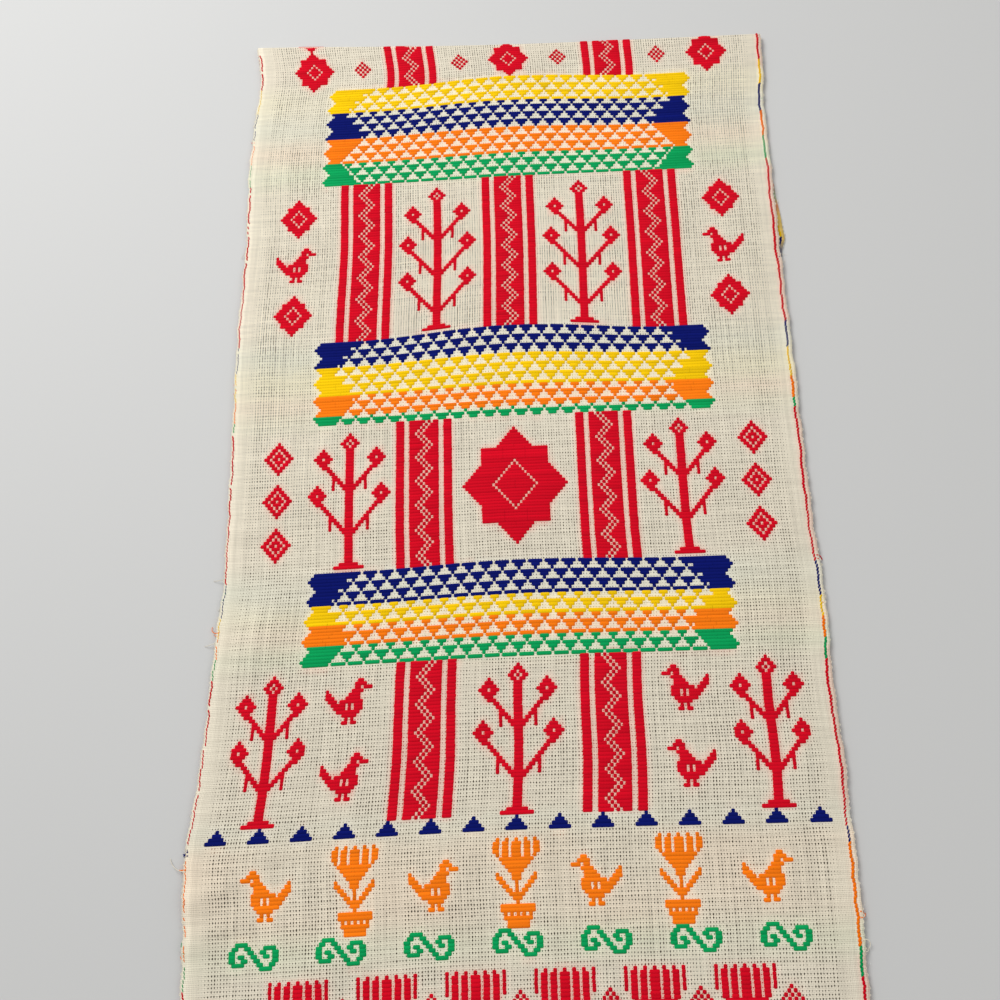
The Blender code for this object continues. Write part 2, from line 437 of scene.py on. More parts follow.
def plain_weave_group():
    """Hole mask, relief from 0 to 1, and thread shade of slubs and painted groove shade, from a
    vector in cells.

    Drawn Out moves weight from the wave along to the one across, so the holes join in lines.
    """
    tree, start, end = new_group(
        "plain_weave", "Cells", ("Openness", "Drawn Out"), ("Hole", "Relief", "Shade")
    )
    cells, drawn_out = start.outputs["Cells"], start.outputs["Drawn Out"]
    calc = partial(calculate, tree)
    noise = partial(stretched_noise, tree, cells)
    column, row, _ = split_vector(tree, cells)
    u = calc("MULTIPLY_ADD", noise((0.35, 0.05, 1.0)), THREAD_DRIFT, column)
    v = calc("MULTIPLY_ADD", noise((0.04, 0.40, 1.0)), THREAD_DRIFT, row)
    turn_u, turn_v = calc("MULTIPLY", u, FULL_TURN), calc("MULTIPLY", v, FULL_TURN)

    weight_u = calc("MULTIPLY_ADD", drawn_out, 0.4, 1.2)
    weight_v = calc("MULTIPLY_ADD", drawn_out, -0.4, 0.8)
    part_u = calc("MULTIPLY", calc("COSINE", turn_u), weight_u)
    part_v = calc("MULTIPLY", calc("COSINE", turn_v), weight_v)
    uneven = smooth_step(tree, noise((0.8, 0.8, 1.0), 1.0), 0.3, 0.62, 0.6, 1.2)
    open_here = calc("MULTIPLY", start.outputs["Openness"], uneven)
    above = calc("ADD", calc("ADD", part_u, part_v), calc("SUBTRACT", open_here, 2.0))
    tree.links.new(calc("MULTIPLY", above, 2.2, clamp=True), end.inputs["Hole"])

    sine_u, sine_v = calc("SINE", turn_u), calc("SINE", turn_v)
    over = calc("MULTIPLY", sine_u, sine_v)
    warp = calc("MULTIPLY", calc("ABSOLUTE", sine_u), calc("MULTIPLY_ADD", over, 0.3, 0.7))
    weft = calc("MULTIPLY", calc("ABSOLUTE", sine_v), calc("MULTIPLY_ADD", over, -0.3, 0.7))
    relief = calc("MAXIMUM", warp, weft)
    tree.links.new(relief, end.inputs["Relief"])

    # Shade: painted shade, darker in the grooves where the relief is low, added to the slubs' thick
    # and thin tone
    slubs = calc("ADD", noise((0.05, 0.9, 1.0), 3.0), noise((0.9, 0.03, 1.0), 3.0))
    slubs = calc("MULTIPLY_ADD", slubs, 0.36, 0.46)
    tree.links.new(calc("MULTIPLY_ADD", relief, 0.32, slubs), end.inputs["Shade"])
    return tree


PLAIN_WEAVE = plain_weave_group()
print("node group", PLAIN_WEAVE.name)

# %% [markdown]
# ## Twisted yarn
# The brocade yarn is thick and loosely twisted. Every float carries a small vector: how far
# along the yarn a point is, how far round it, and a tone of its own. Slanting stripes of the
# first two give the plies, and the tone sets one float off from its neighbour.


# %% The yarn's twist as a node group
def twisted_yarn_group():
    """Relief of the plies and a shade about 1, from a vector of along, around and tone."""
    tree, start, end = new_group("twisted_yarn", "Yarn", (), ("Relief", "Shade"))
    yarn = start.outputs["Yarn"]
    calc = partial(calculate, tree)
    along, around, tone = split_vector(tree, yarn)
    turns = calc("MULTIPLY_ADD", along, 0.75, around)
    plies = calc("SINE", calc("MULTIPLY", turns, FULL_TURN))
    fibres = stretched_noise(tree, yarn, (0.8, 9.0, 0.0), 3.0)
    tree.links.new(calc("MULTIPLY_ADD", plies, 0.25, fibres), end.inputs["Relief"])
    shade = calc("MULTIPLY_ADD", tone, 0.08, 0.92)
    tree.links.new(calc("MULTIPLY_ADD", fibres, 0.16, shade), end.inputs["Shade"])
    return tree


TWISTED_YARN = twisted_yarn_group()
print("node group", TWISTED_YARN.name)

# %% [markdown]
# ## Colours and colour zones
# A pick of pattern yarn runs from edge to edge, so the colour can only change from one row to
# the next, and a motif that stands across a change takes the new colour. Where the yarn passes
# behind the ground it tints it faintly, and on the wrong side it shows as stripes.

# %% Colours and zones
GROUND = linear(230, 222, 201)
YARN_COLOURS = {
    "red": linear(214, 8, 34),
    "yellow": linear(250, 203, 8),
    "orange": linear(255, 126, 18),
    "green": linear(8, 160, 88),
    "navy": linear(8, 20, 104),
    "cream": linear(232, 224, 206),
}
PATTERN_COLOURS = ("red", "yellow", "navy", "orange", "green")
TINTS = {
    "red": (1.0, 0.985, 0.99),
    "yellow": (1.01, 1.015, 0.95),
    "orange": (1.045, 0.98, 0.96),
    "green": (0.94, 0.995, 0.95),
    "navy": (0.94, 0.99, 1.0),
    "cream": (1.0, 1.0, 1.0),
}
# First row of every zone and its colour
ZONES = (
    (0, "red"), (17, "yellow"), (27, "navy"), (38, "orange"), (48, "green"), (57, "red"),
    (117, "navy"), (126, "yellow"), (136, "orange"), (143, "green"), (146, "red"),
    (194, "navy"), (204, "yellow"), (210, "orange"), (216, "green"), (222, "red"),
    (266, "navy"), (270, "orange"), (295, "green"), (302, "red"), (325, "cream"),
)
zone_starts, zone_names = (np.array(column) for column in zip(*ZONES))
row_colours = zone_names[np.searchsorted(zone_starts, np.arange(ROWS), side="right") - 1]
print({name: int((row_colours == name).sum()) for name in YARN_COLOURS})

# %% [markdown]
# ## Cloth materials
# The front is cream cotton with pinholes that fade out towards the selvedges, where the warp is
# set closer. The back is the same weave under stripes of pattern yarn. Both read their colour
# from the points of the mesh, and the nodes add the threads.

# %% Cloth materials
# Painted shade: the pinholes get this dark colour where the lower layer would lie in shade
HOLE_SHADE_COLOUR = linear(74, 66, 52)
COTTON_ROUGHNESS = 0.9
WEAVE_DEPTH = 0.00024


def matt_material(name, shine):
    """A rough material; gives back the material, its tree and its shader."""
    material = bpy.data.materials.new(name)
    material.use_nodes = True
    shader = material.node_tree.nodes["Principled BSDF"]
    shader.inputs["Roughness"].default_value = COTTON_ROUGHNESS
    shader.inputs["Specular IOR Level"].default_value = shine
    return material, material.node_tree, shader


def add_bump(tree, shader, height, depth, strength):
    """Let a relief bend the shader's normal."""
    bump = tree.nodes.new("ShaderNodeBump")
    bump.inputs["Distance"].default_value = depth
    bump.inputs["Strength"].default_value = strength
    tree.links.new(height, bump.inputs["Height"])
    tree.links.new(bump.outputs["Normal"], shader.inputs["Normal"])


def from_mesh(tree, name, output):
    """Values stored on the points of the mesh, as a Color, a Vector or a single Fac."""
    node = tree.nodes.new("ShaderNodeAttribute")
    node.attribute_name = name
    return node.outputs[output]


def scaled(tree, colour, factor):
    """A colour, fixed or from a socket, made lighter or darker by a factor."""
    node = tree.nodes.new("ShaderNodeVectorMath")
    node.operation = "SCALE"
    if isinstance(colour, tuple):
        node.inputs[0].default_value = colour
    else:
        tree.links.new(colour, node.inputs[0])
    tree.links.new(factor, node.inputs["Scale"])
    return node.outputs[0]


def mixed(tree, factor, first, second):
    """Mix two colours by a factor, all three from sockets."""
    node = tree.nodes.new("ShaderNodeMix")
    node.data_type = "RGBA"
    sockets = (node.inputs[0], node.inputs[6], node.inputs[7])
    for socket, value in zip(sockets, (factor, first, second)):
        tree.links.new(value, socket)
    return node.outputs[2]


def openness(tree, cells):
    """How open the weave is, and how far its holes are drawn out along the warp.

    Openness grows a little with the rows. It is nearly nothing at the selvedges and less in the
    brocade. Whole ends and whole picks lie looser or tighter than others, in patches.
    """
    step = partial(smooth_step, tree)
    noise = partial(stretched_noise, tree, cells)
    column, row, _ = split_vector(tree, cells)
    row = calculate(tree, "ABSOLUTE", row)
    from_centre = calculate(tree, "ABSOLUTE", calculate(tree, "SUBTRACT", column, CENTRE + 0.5))
    share = step(row, 110, 260, 0.88, 1.08)
    for part in (
        step(from_centre, 97, 105, 1.0, 0.0),
        step(noise((0.055, 0.05, 1.0), 3.0), 0.3, 0.62, 0.72, 1.05),
        step(noise((0.9, 0.012, 1.0), 1.0), 0.32, 0.58, 0.72, 1.1),
        step(noise((0.02, 0.8, 1.0), 1.0), 0.32, 0.6, 0.72, 1.1),
        step(from_mesh(tree, "packed", "Fac"), 0.05, 0.45, 1.0, 0.7),
    ):
        share = calculate(tree, "MULTIPLY", share, part)
    return share, step(row, 90, 210, 1.0, 0.0)


def cotton_material(name, colour_attribute):
    """Plain-weave cotton that reads the colour of its threads from the mesh."""
    material, tree, shader = matt_material(name, 0.15)
    uv = tree.nodes.new("ShaderNodeUVMap")
    uv.uv_map = "cells"
    weave = use_group(tree, PLAIN_WEAVE)
    share, drawn_out = openness(tree, uv.outputs["UV"])
    tree.links.new(uv.outputs["UV"], weave.inputs["Cells"])
    tree.links.new(share, weave.inputs["Openness"])
    tree.links.new(drawn_out, weave.inputs["Drawn Out"])
    # Thread colour times the weave's shade, which holds painted shade in the grooves between
    # threads
    threads = scaled(tree, from_mesh(tree, colour_attribute, "Color"), weave.outputs["Shade"])
    # The holes are painted over the threads: dark painted shade, turning to the pattern yarn near
    # brocade
    shade_and_yarn_in_holes = from_mesh(tree, "hole_shade_and_yarn", "Color")
    surface = mixed(tree, weave.outputs["Hole"], threads, shade_and_yarn_in_holes)
    tree.links.new(surface, shader.inputs["Base Color"])
    add_bump(tree, shader, weave.outputs["Relief"], WEAVE_DEPTH, 0.9)
    return material


cotton_front = cotton_material("cotton_front", "ground_and_cord_light")
cotton_back = cotton_material("cotton_back", "back_colour")

# %% [markdown]
# ## Motifs
# Every motif is a small grid of yes and no: yes is a cell where the pattern yarn lies on top.
# Stars, diamonds, triangles and trees follow short rules on the distance from their middle, as
# weavers remember them. The bird and the scroll are charted as rows of text.


# %% Motifs worked out by rule
def cell_places(height, width):
    """Rows down from the top and columns across from the middle of a grid of cells."""
    down, across = np.mgrid[0:height, 0:width]
    return down, across - width // 2


def diamond(reach, ring=0):
    """Cells within a number of steps of the middle, with every ring-th step left open."""
    down, across = cell_places(2 * reach + 1, 2 * reach + 1)
    steps = np.abs(down - reach) + np.abs(across)
    filled = steps <= reach
    if ring:
        filled &= (reach - steps) % ring != ring - 1
    return filled


def star(reach):
    """Eight points: a square and a diamond laid over each other, with an open ring inside."""
    down, across = np.abs(cell_places(2 * reach + 1, 2 * reach + 1))
    down = np.abs(down - reach)
    square = np.maximum(down, across) <= round(reach * 0.64)
    ring = down + across == round(reach * 0.4)
    return (square | (down + across <= reach)) & ~ring


def triangles(height, width):
    """Bands of triangles, five, three and one cell wide, each band set between the last."""
    down, across = cell_places(height, width)
    place = (across + 2 + 3 * (down // 3 % 2)) % 6
    return np.abs(place - 2) <= 2 - down % 3


def zigzag_bar(height):
    """An upright bar: two narrow stripes and a broad one with two zigzag lines left open."""
    filled = np.ones((height, 21), bool)
    filled[:, [3, 4, 16, 17]] = False
    row = np.arange(height)
    shift = np.abs(row % 8 - 4)
    filled[row, 7 + shift] = False
    filled[row, 9 + shift] = False
    return filled


def tree_of_life(height, reach, levels):
    """An upright trunk with pairs of rising branches, a small diamond at every tip."""
    down, across = cell_places(height, 2 * reach + 1)
    across = np.abs(across)
    foot = height - 1 - down
    top = np.abs(down - 3) + across
    filled = (across <= 1) & (down >= 4)
    filled |= (across <= 5 - 2 * foot) & (foot < 3)
    filled |= top <= 3
    for level, length in levels:
        rise = level - down
        filled |= np.isin(across - rise, (1, 2)) & (rise >= 0) & (rise <= length)
        tip = np.abs(down - level + length + 3) + np.abs(across - length - 3)
        filled |= (tip <= 3) & (tip != 0)
        half = length // 2
        filled |= (across == half + 3) & (rise <= half) & (rise > half - 4)
    filled[top == 1] = False
    return filled


def tulip(reach, height):
    """A fan of petals that narrows to a stalk, with open lines between the petals."""
    down, across = cell_places(height, 2 * reach + 1)
    across = np.abs(across)
    cup = across <= reach - np.clip(down - height // 3, 0, None)
    slit = np.isin(across, (2, 5, 8)) & (down < height // 2)
    notch = (down == 0) & (across % 3 != 0)
    stalk = (across <= 1) & (down > height // 2)
    return (cup & ~slit & ~notch) | stalk


def potted_flower(height):
    """A pot with a stalk, two leaves and a tulip on top."""
    down, across = cell_places(height, 15)
    across = np.abs(across)
    filled = (across == 0) & (down >= 9)
    filled[:11] |= tulip(7, 11)
    leaf = across - (height - 8 - down)
    filled |= (leaf >= 0) & (leaf <= 1) & (across <= 6) & (down <= height - 7)
    pot = height - 1 - down
    filled |= (across <= 3 + pot // 2) & (pot < 6)
    filled &= ~((pot == 3) & (across % 2 == 1) & (across < 4))
    return filled


def pyramid(height):
    """A solid triangle that widens by two cells a row."""
    down, across = cell_places(height, 2 * height - 1)
    return np.abs(across) <= down


# %% Motifs charted as text
def from_text(text):
    """A motif from rows of text: a hash is a cell of pattern yarn."""
    rows = text.split()
    return np.array([[mark == "#" for mark in row] for row in rows])


bird = from_text("""
    ...........##...
    ..........####..
    ..........##.###
    #........####...
    ##......####....
    ###....#####....
    .###.########...
    ..#####.#.###...
    ...####.#.###...
    ....########....
    ......#####.....
    .......#.#......
    ......##.##.....
""")
scroll = from_text("""
    ...###...........
    ..#...#.....###..
    .#.....#...#...#.
    .#..#...#...#..#.
    .#...#...#.....#.
    ..###.....#...#..
    ...........###...
""")
scroll = np.pad(scroll, ((0, 0), (0, 1)))
scroll[:, 1:] |= scroll[:, :-1]
print("bird", bird.shape, "scroll", scroll.shape)

# %% [markdown]
# ## The chart
# The chart is one grid for the upper half of the runner: bands of triangles with rows of bars,
# trees, stars, birds, flowers and scrolls between them. The pattern runs on over the fold, so
# the lower half takes the same rows in another order.

# %% The chart
chart = np.zeros((ROWS, COLUMNS), bool)


def place(motif, top, column):
    """Set a motif down with its first row at top and its middle at a column."""
    height, width = motif.shape
    left = column - width // 2
    chart[top : top + height, left : left + width] |= motif


def place_pair(motif, top, offset):
    """Set a motif down on both sides of the middle, the left one turned to face the other."""
    place(motif, top, CENTRE - offset)
    place(motif[:, ::-1], top, CENTRE + offset)


def triangle_band(top, height, half):
    """A band of triangles with solid, stepped ends and a toothed outline."""
    down, across = np.mgrid[0:height, -half - 3 : half + 4]
    tooth = 2 - np.abs(down % 6 - 2)
    outline = np.abs(across) <= half + tooth
    solid = np.abs(across) > half - 5 - np.abs(down % 20 - 10) * 0.8
    lattice = triangles(height, across.shape[1])
    place(outline & (solid | lattice), top, CENTRE)


# Red rows at the fold
place_pair(zigzag_bar(17), 0, 42)
place(star(8), 0, CENTRE)
place_pair(star(8), 0, 84)
place_pair(diamond(3, 2), 5, 21)
place_pair(diamond(3, 2), 5, 63)

# First band and the long red panel
triangle_band(17, 40, 74)
place(zigzag_bar(60), 57, CENTRE)
place_pair(zigzag_bar(60), 57, 58)
place_pair(tree_of_life(56, 15, ((20, 7), (34, 9), (48, 9))), 60, 29)
place_pair(star(7), 62, 86)
place_pair(bird, 81, 86)
place_pair(star(7), 99, 86)

# Second band and its panel
triangle_band(117, 29, 74)
place(star(19), 150, CENTRE)
place_pair(zigzag_bar(48), 146, 34)
place_pair(tree_of_life(44, 15, ((18, 7), (32, 9))), 149, 62)
for top in (151, 165, 179):
    place_pair(diamond(5, 3), top, 89)

# Third band and its panel
triangle_band(194, 28, 74)
place(tree_of_life(42, 15, ((17, 7), (31, 9))), 224, CENTRE)
place_pair(zigzag_bar(44), 222, 32)
place_pair(bird, 226, 58)
place_pair(bird, 247, 58)
place_pair(tree_of_life(42, 12, ((17, 6), (31, 7))), 224, 85)

# Feet, birds and pots, scrolls, and the last row of flowers
for offset in range(0, 99, 14):
    place_pair(pyramid(4), 266, offset)
place(potted_flower(23), 272, CENTRE)
place_pair(bird, 277, 26)
place_pair(potted_flower(23), 272, 52)
place_pair(bird[:, ::-1], 277, 80)
for offset in (0, 28, 56, 84):
    place(scroll, 295, CENTRE - offset)
    place(scroll, 295, CENTRE + offset)
    place_pair(diamond(3, 2), 310, offset)
for offset in (14, 42, 70):
    place_pair(tulip(9, 17), 305, offset)

# Rows of the chart that the lower layer shows, counted from the fold; rows of bars fill it out
BARS = np.arange(57, 62)
LOWER_ROWS = np.concatenate(
    (range(17), (57, 58, 57), range(189, 16, -1), BARS, BARS[-2::-1], range(194, 351))
)


def chart_row(row):
    """Row of the chart that is woven at a row of the runner, on either side of the fold."""
    index = np.clip(np.floor(np.abs(row)), 0, ROWS - 1).astype(int)
    return np.where(row < 0, LOWER_ROWS[index], index)


print("cells of pattern yarn on top:", int(chart.sum()), "and below:", int(chart[LOWER_ROWS].sum()))

# %% [markdown]
# ## The cloth
# The sheet is a grid laid over `on_cloth`, and Solidify gives it its thickness. The hem is the
# same sheet with a heavier weight in a vertex group. The UV map isn't from 0 to 1: it counts
# cells, so the weave and the brocade agree.

# %% The cloth
STRIPS_ACROSS = COLUMNS
UPPER_STEPS = 168
TURN_STEPS = 12
LOWER_STEPS = 30


def path_stations():
    """Distances along the cloth, from the upper layer's end over the fold to the lower end.

    The lower layer has most of its few steps where its edge peeks out at the right.
    """
    full = FOLDED_LENGTH + HALF_TURN
    hem = full - HEM_DEPTH - np.array([-1.0, -0.5, 0.0, 0.5, 1.0]) * HEM_STEP
    end = full - np.array([0.0, 0.0004, 0.001, 0.0018])
    upper = np.linspace(full - 0.004, HALF_TURN, UPPER_STEPS)
    turn = np.linspace(HALF_TURN, -HALF_TURN, TURN_STEPS + 1)[1:-1]
    part = np.linspace(0, 1, LOWER_STEPS)
    lower = -np.interp(part, (0, 0.15, 0.55, 1), (HALF_TURN, 0.110, 0.205, full - 0.005))
    last = LOWER_END_SHORT - end
    return np.sort(np.concatenate((end, hem, upper, turn, lower, -hem, last)))[::-1]


def grid_faces(rows, columns):
    """Quads of a grid whose points are numbered row by row."""
    first = np.arange((rows - 1) * columns).reshape(rows - 1, columns)[:, :-1].ravel()
    return np.stack([first, first + 1, first + columns + 1, first + columns], axis=1)


def make_mesh(name, points, *faces):
    """A mesh object from an array of points and arrays of faces."""
    mesh = bpy.data.meshes.new(name)
    corners = np.concatenate([face.ravel() for face in faces]).astype(np.int32)
    sizes = np.concatenate([np.full(len(face), face.shape[1]) for face in faces])
    starts = np.concatenate(([0], np.cumsum(sizes)[:-1])).astype(np.int32)
    mesh.vertices.add(len(points))
    mesh.vertices.foreach_set("co", points.astype(np.float32).ravel())
    mesh.loops.add(len(corners))
    mesh.loops.foreach_set("vertex_index", corners)
    mesh.polygons.add(len(sizes))
    mesh.polygons.foreach_set("loop_start", starts)
    mesh.update(calc_edges=True)
    mesh.shade_smooth()
    piece = bpy.data.objects.new(name, mesh)
    bpy.context.collection.objects.link(piece)
    return piece


NEAR_SHARE = 0.6
LIGHTER_NEAR = 0.24
# Part of the cords' lightness is painted light, lifting the edge strip out of its shade
CORD_PAINTED_LIGHT = 0.15
CORD_COLUMNS = 3.2
YARN_SHOWS = {"red": 0.42, "cream": 0.0}
OTHERS_SHOW = 0.14


def brocade_nearby(column, row):
    """Share of the cells round a place that carry pattern yarn: the chart, blurred twice."""
    share = np.pad(chart.astype(float), 2)
    for axis in (0, 1, 0, 1):
        share = (np.roll(share, -1, axis) + share + np.roll(share, 1, axis)) / 3
    share = share[2:-2, 2:-2]
    at_left = np.clip(np.ceil(column - 1), 0, COLUMNS - 1).astype(int)
    at_right = np.clip(np.floor(column), 0, COLUMNS - 1).astype(int)
    return (share[chart_row(row), at_left] + share[chart_row(row), at_right]) / 2


def soften_rows(values, reach=3):
    """Average over the rows within reach, so that one zone fades into the next."""
    padded = np.pad(values, ((reach, reach), (0, 0)), mode="edge")
    return sum(padded[i : i + len(values)] for i in range(2 * reach + 1)) / (2 * reach + 1)


def thread_colours(column, row, nearby):
    """Colours of the ground, of painted shade in its holes and of the wrong side, at places in the
    pattern.

    The ground takes a faint tint from its zone, in soft patches, and more of the yarn's own colour
    where brocade is near. There the threads are beaten closer and the ground is made lighter. The
    cords along the selvedges are lighter too, partly with painted light that lifts the edge strip
    out of its shade, and the holes show dark painted shade, turning to the pattern yarn beneath
    them where brocade is near.
    """
    here = chart_row(row)
    tint = soften_rows(np.array([TINTS[name] for name in row_colours]))[here]
    yarn = np.array([YARN_COLOURS[name] for name in row_colours])[here]
    patch = 0.75 + 0.2 * np.sin(column / 9 + 2 * np.sin(row / 13))
    patch = patch + 0.2 * np.sin(row / 7 + column / 15)
    near = np.clip(nearby / NEAR_SHARE, 0, 1)
    cord = np.clip(CORD_COLUMNS - np.minimum(column, COLUMNS - column), 0, 1)
    ground = np.array(GROUND) * tint ** patch[:, None]
    # Lighter near brocade; on the cords this is partly painted light, lifting the edge strip out of
    # its shade
    ground = ground * (1 + LIGHTER_NEAR * near + CORD_PAINTED_LIGHT * cord)[:, None]
    strength = np.array([YARN_SHOWS.get(name, OTHERS_SHOW) for name in row_colours])[here]
    at_right = np.where(column > CENTRE, cord, 0)
    show = (strength * np.clip(near**1.5 + 0.5 * at_right, 0, 1))[:, None]
    ground = ground * (1 - show) + yarn * show
    # Painted shade in the holes, turning to the pattern yarn beneath them where brocade is near
    shade_and_yarn_in_holes = np.array(HOLE_SHADE_COLOUR) * (1 - near**2)[:, None] + 0.8 * yarn * (near**2)[:, None]
    wrong = np.array(GROUND) * 0.25 + yarn * 0.60
    return ground, shade_and_yarn_in_holes, wrong


def add_attribute(mesh, name, kind, values):
    """Store an array on the points of a mesh; kind is FLOAT, FLOAT_VECTOR or FLOAT_COLOR."""
    attribute = mesh.attributes.new(name, kind, "POINT")
    if kind == "FLOAT_COLOR":
        values = np.concatenate([values, np.ones((len(values), 1))], axis=1)
    field = {"FLOAT": "value", "FLOAT_VECTOR": "vector", "FLOAT_COLOR": "color"}[kind]
    attribute.data.foreach_set(field, values.astype(np.float32).ravel())


def make_cloth():
    """The folded sheet with its hems, its cell-counting UV map and its two sides."""
    stations = path_stations()
    fraction, path = np.meshgrid(np.linspace(0, 1, STRIPS_ACROSS + 1), stations)
    fraction, path = fraction.ravel(), path.ravel()
    points = on_cloth(fraction, path, np.zeros(len(path)))
    faces = grid_faces(len(stations), STRIPS_ACROSS + 1)
    cloth = make_mesh("runner", points, faces)

    column = fraction * COLUMNS
    row = path_row(column, path)
    uv = np.stack([column, row], axis=1)[faces.ravel()]
    layer = cloth.data.uv_layers.new(name="cells")
    layer.data.foreach_set("uv", uv.astype(np.float32).ravel())
    nearby = brocade_nearby(column, row)
    ground, shade_and_yarn_in_holes, wrong = thread_colours(column, row, nearby)
    add_attribute(cloth.data, "packed", "FLOAT", nearby)
    add_attribute(cloth.data, "ground_and_cord_light", "FLOAT_COLOR", ground)
    add_attribute(cloth.data, "hole_shade_and_yarn", "FLOAT_COLOR", shade_and_yarn_in_holes)
    add_attribute(cloth.data, "back_colour", "FLOAT_COLOR", wrong)

    from_fold = np.clip(np.abs(path) - HALF_TURN, 0, None)
    weights = sheet_thickness(from_fold) / HEM_SHEET
    group = cloth.vertex_groups.new(name="thickness")
    for weight in np.unique(weights.round(3)):
        chosen = np.flatnonzero(weights.round(3) == weight)
        group.add(chosen.tolist(), float(weight), "REPLACE")
    body = cloth.modifiers.new("cloth thickness", "SOLIDIFY")
    body.thickness = HEM_SHEET
    body.offset = 0.0
    body.vertex_group = group.name
    body.material_offset = 1
    body.material_offset_rim = 0
    cloth.data.materials.append(cotton_front)
    cloth.data.materials.append(cotton_back)
    return cloth


runner = make_cloth()
print("cloth grid", len(runner.data.vertices), "points")

# %% [markdown]
# ## Yarn materials
# A yarn material mixes the twist with the grid of the cloth: where four cells meet, the warp pulls
# the pattern yarn down, and a faint dot of painted shade marks the dip.


# %% Yarn materials
TWIST_DEPTH = 0.00008


def yarn_material(name, colour, shade_dots):
    """Soft matt yarn that reads its place from the points of its mesh."""
    material, tree, shader = matt_material(name, 0.08)
    twist = use_group(tree, TWISTED_YARN)
    tree.links.new(from_mesh(tree, "yarn", "Vector"), twist.inputs["Yarn"])
    shade = twist.outputs["Shade"]
    # Painted shade: a faint dark dot in the dip at each cell corner
    if shade_dots:
        weave = use_group(tree, PLAIN_WEAVE)
        weave.inputs["Openness"].default_value = shade_dots
        tree.links.new(from_mesh(tree, "cells", "Vector"), weave.inputs["Cells"])
        light = calculate(tree, "SUBTRACT", 1.0, weave.outputs["Hole"])
        shade = calculate(tree, "MULTIPLY", shade, light)
    tree.links.new(scaled(tree, colour, shade), shader.inputs["Base Color"])
    add_bump(tree, shader, twist.outputs["Relief"], TWIST_DEPTH, 0.5)
    return material


pattern_yarn = {
    name: yarn_material(f"{name}_yarn", colour, 0.0 if name == "cream" else 0.22)
    for name, colour in YARN_COLOURS.items()
}

# %% [markdown]
# ## Floats
# A float is the visible stretch of pattern yarn over a run of cells. A run starts where the chart
# turns from no to yes and ends where it turns back, so the difference of neighbouring cells finds
# all runs at once. Each float is a low bar, flat below and rounded above, that dips into the
# cloth at both ends.

# %% Floats
FLOAT_WIDTH = 1.2
FLOAT_HEIGHT = 0.40 * MM
FLOAT_SUNK = 0.08 * MM
FLOAT_ROUND = np.array([(-0.5, 0.0), (-0.43, 0.84), (0.0, 1.0), (0.43, 0.84), (0.5, 0.0)])
LONGEST_RUN = 12
END_REACH = 0.20
LAYERS = (("upper", 1, np.arange(ROWS)), ("lower", -1, LOWER_ROWS))
chance = np.random.default_rng(7)


def short_runs(grid):
    """Row, start, end and number of the run for every run of yes, long ones cut into pieces.

    Short pieces follow the waves, and the pieces of one run are equally long.
    """
    steps = np.diff(np.pad(grid, ((0, 0), (1, 1))).astype(int), axis=1)
    rows, starts = np.nonzero(steps == 1)
    _, ends = np.nonzero(steps == -1)
    pieces = -(-(ends - starts) // LONGEST_RUN)
    run = np.repeat(np.arange(len(rows)), pieces)
    piece = np.arange(len(run)) - np.repeat(np.cumsum(pieces) - pieces, pieces)
    step = ((ends - starts) / pieces)[run]
    start = starts[run] + piece * step
    return rows[run], start, start + step, run


def ring_mesh(name, rings, yarn, cells=None):
    """Closed tubes from an array of rings: tube, station, place on the ring, axis."""
    tubes, stations, around = rings.shape[:3]
    point = np.arange(tubes * stations * around).reshape(tubes, stations, around)
    ahead = np.roll(point, -1, axis=2)
    sides = np.stack([point[:, :-1], ahead[:, :-1], ahead[:, 1:], point[:, 1:]], axis=-1)
    ends = (point[:, 0, ::-1], point[:, -1])
    piece = make_mesh(name, rings.reshape(-1, 3), sides.reshape(-1, 4), *ends)
    add_attribute(piece.data, "yarn", "FLOAT_VECTOR", yarn)
    if cells is not None:
        add_attribute(piece.data, "cells", "FLOAT_VECTOR", cells)
    return piece


